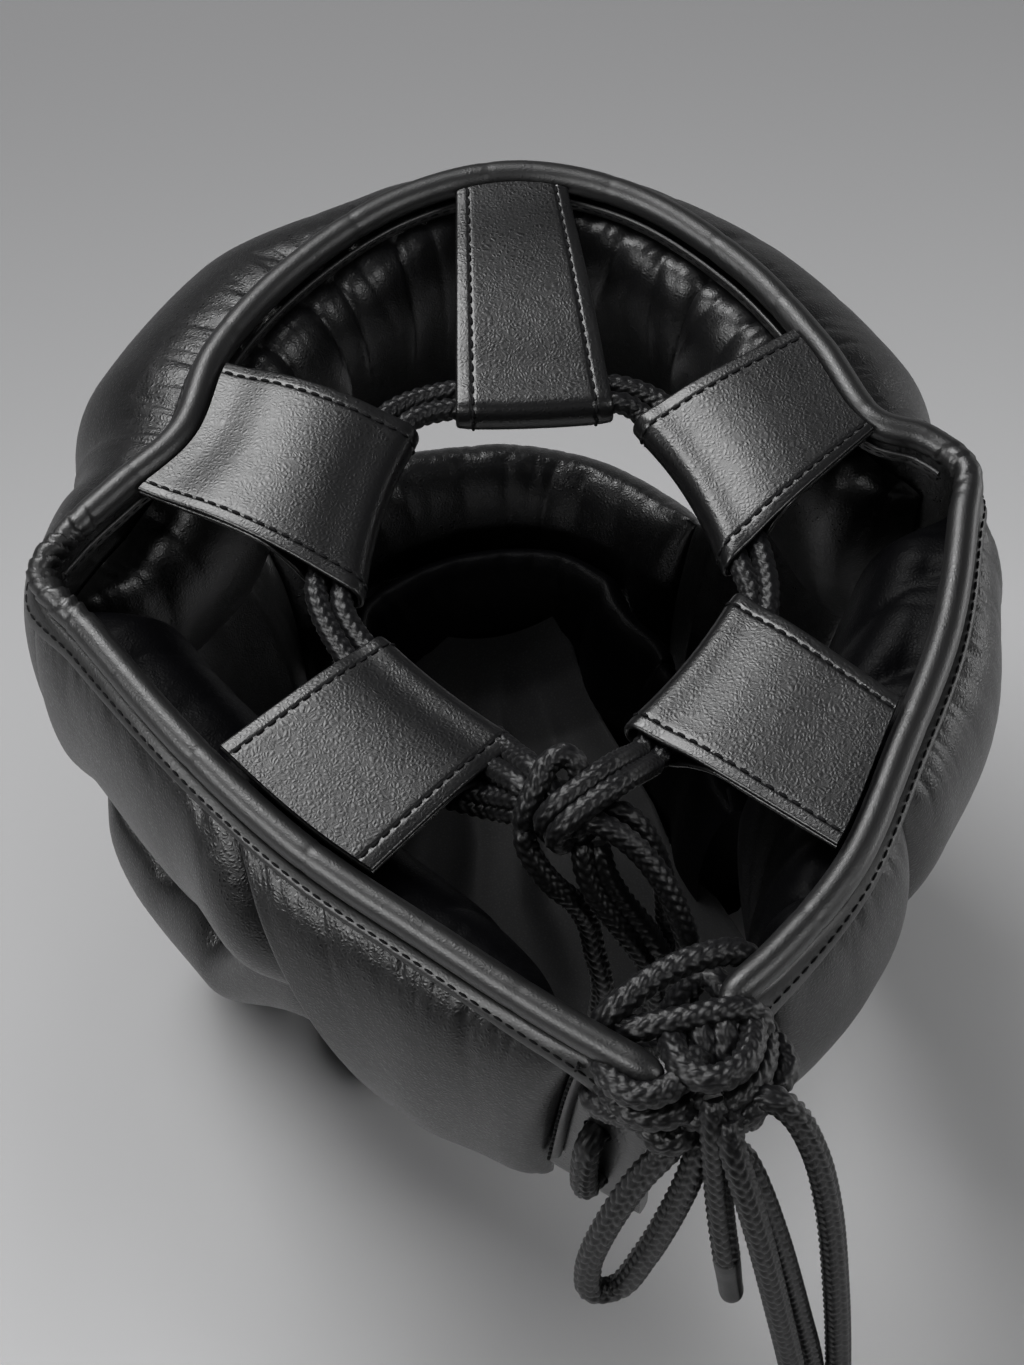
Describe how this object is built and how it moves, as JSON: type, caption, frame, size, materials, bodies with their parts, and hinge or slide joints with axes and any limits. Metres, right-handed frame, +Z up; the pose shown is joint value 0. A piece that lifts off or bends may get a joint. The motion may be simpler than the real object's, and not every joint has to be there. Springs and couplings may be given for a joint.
{
  "type": "face bar boxing headgear",
  "caption": "Padded leather boxing headgear with a bar across the face, piped rim, corded crown loops and a laced back.",
  "frame": {"origin": "on the floor, under the middle of the headgear without its free cords", "axes": "+Z up, +Y to the laced back, +X to the wearer's left"},
  "size_m": [0.2544, 0.3417, 0.2537],
  "materials": {
    "pad_leather": "satin black, fine grain",
    "liner_leather": "soft satin black, gathered",
    "piping_leather": "satin black, rolled",
    "strap_leather": "satin black, pebbled",
    "braided_cord": "black braid",
    "lace_tip": "black tube"
  },
  "bodies": {
    "root": {"brow_shell": "pad_leather", "ear_pad_left": "pad_leather", "ear_pad_right": "pad_leather", "rear_pad_left": "pad_leather", "rear_pad_right": "pad_leather", "jaw_pad_left": "pad_leather", "jaw_pad_right": "pad_leather", "face_bar": "pad_leather", "brow_liner": "liner_leather", "side_liner_left": "liner_leather", "side_liner_right": "liner_leather", "chin_pad": "liner_leather", "rim_piping": "piping_leather", "chin_strap": "strap_leather", "crown_loop_left_rear": "strap_leather", "crown_loop_left_front": "strap_leather", "crown_loop_front": "strap_leather", "crown_loop_right_front": "strap_leather", "crown_loop_right_rear": "strap_leather", "placket_left": "strap_leather", "placket_right": "strap_leather", "crown_cord_inner": "braided_cord", "crown_cord_outer": "braided_cord", "crown_knot": "braided_cord", "crown_tail_right": "braided_cord", "crown_tail_middle": "braided_cord", "crown_tail_left": "braided_cord", "rear_lace": "braided_cord", "rear_knot": "braided_cord", "lace_loop_left": "braided_cord", "lace_loop_right": "braided_cord", "lace_end_left": "braided_cord", "lace_end_right": "braided_cord", "lace_tip_left": "lace_tip", "lace_tip_right": "lace_tip"}
  },
  "joints": []
}
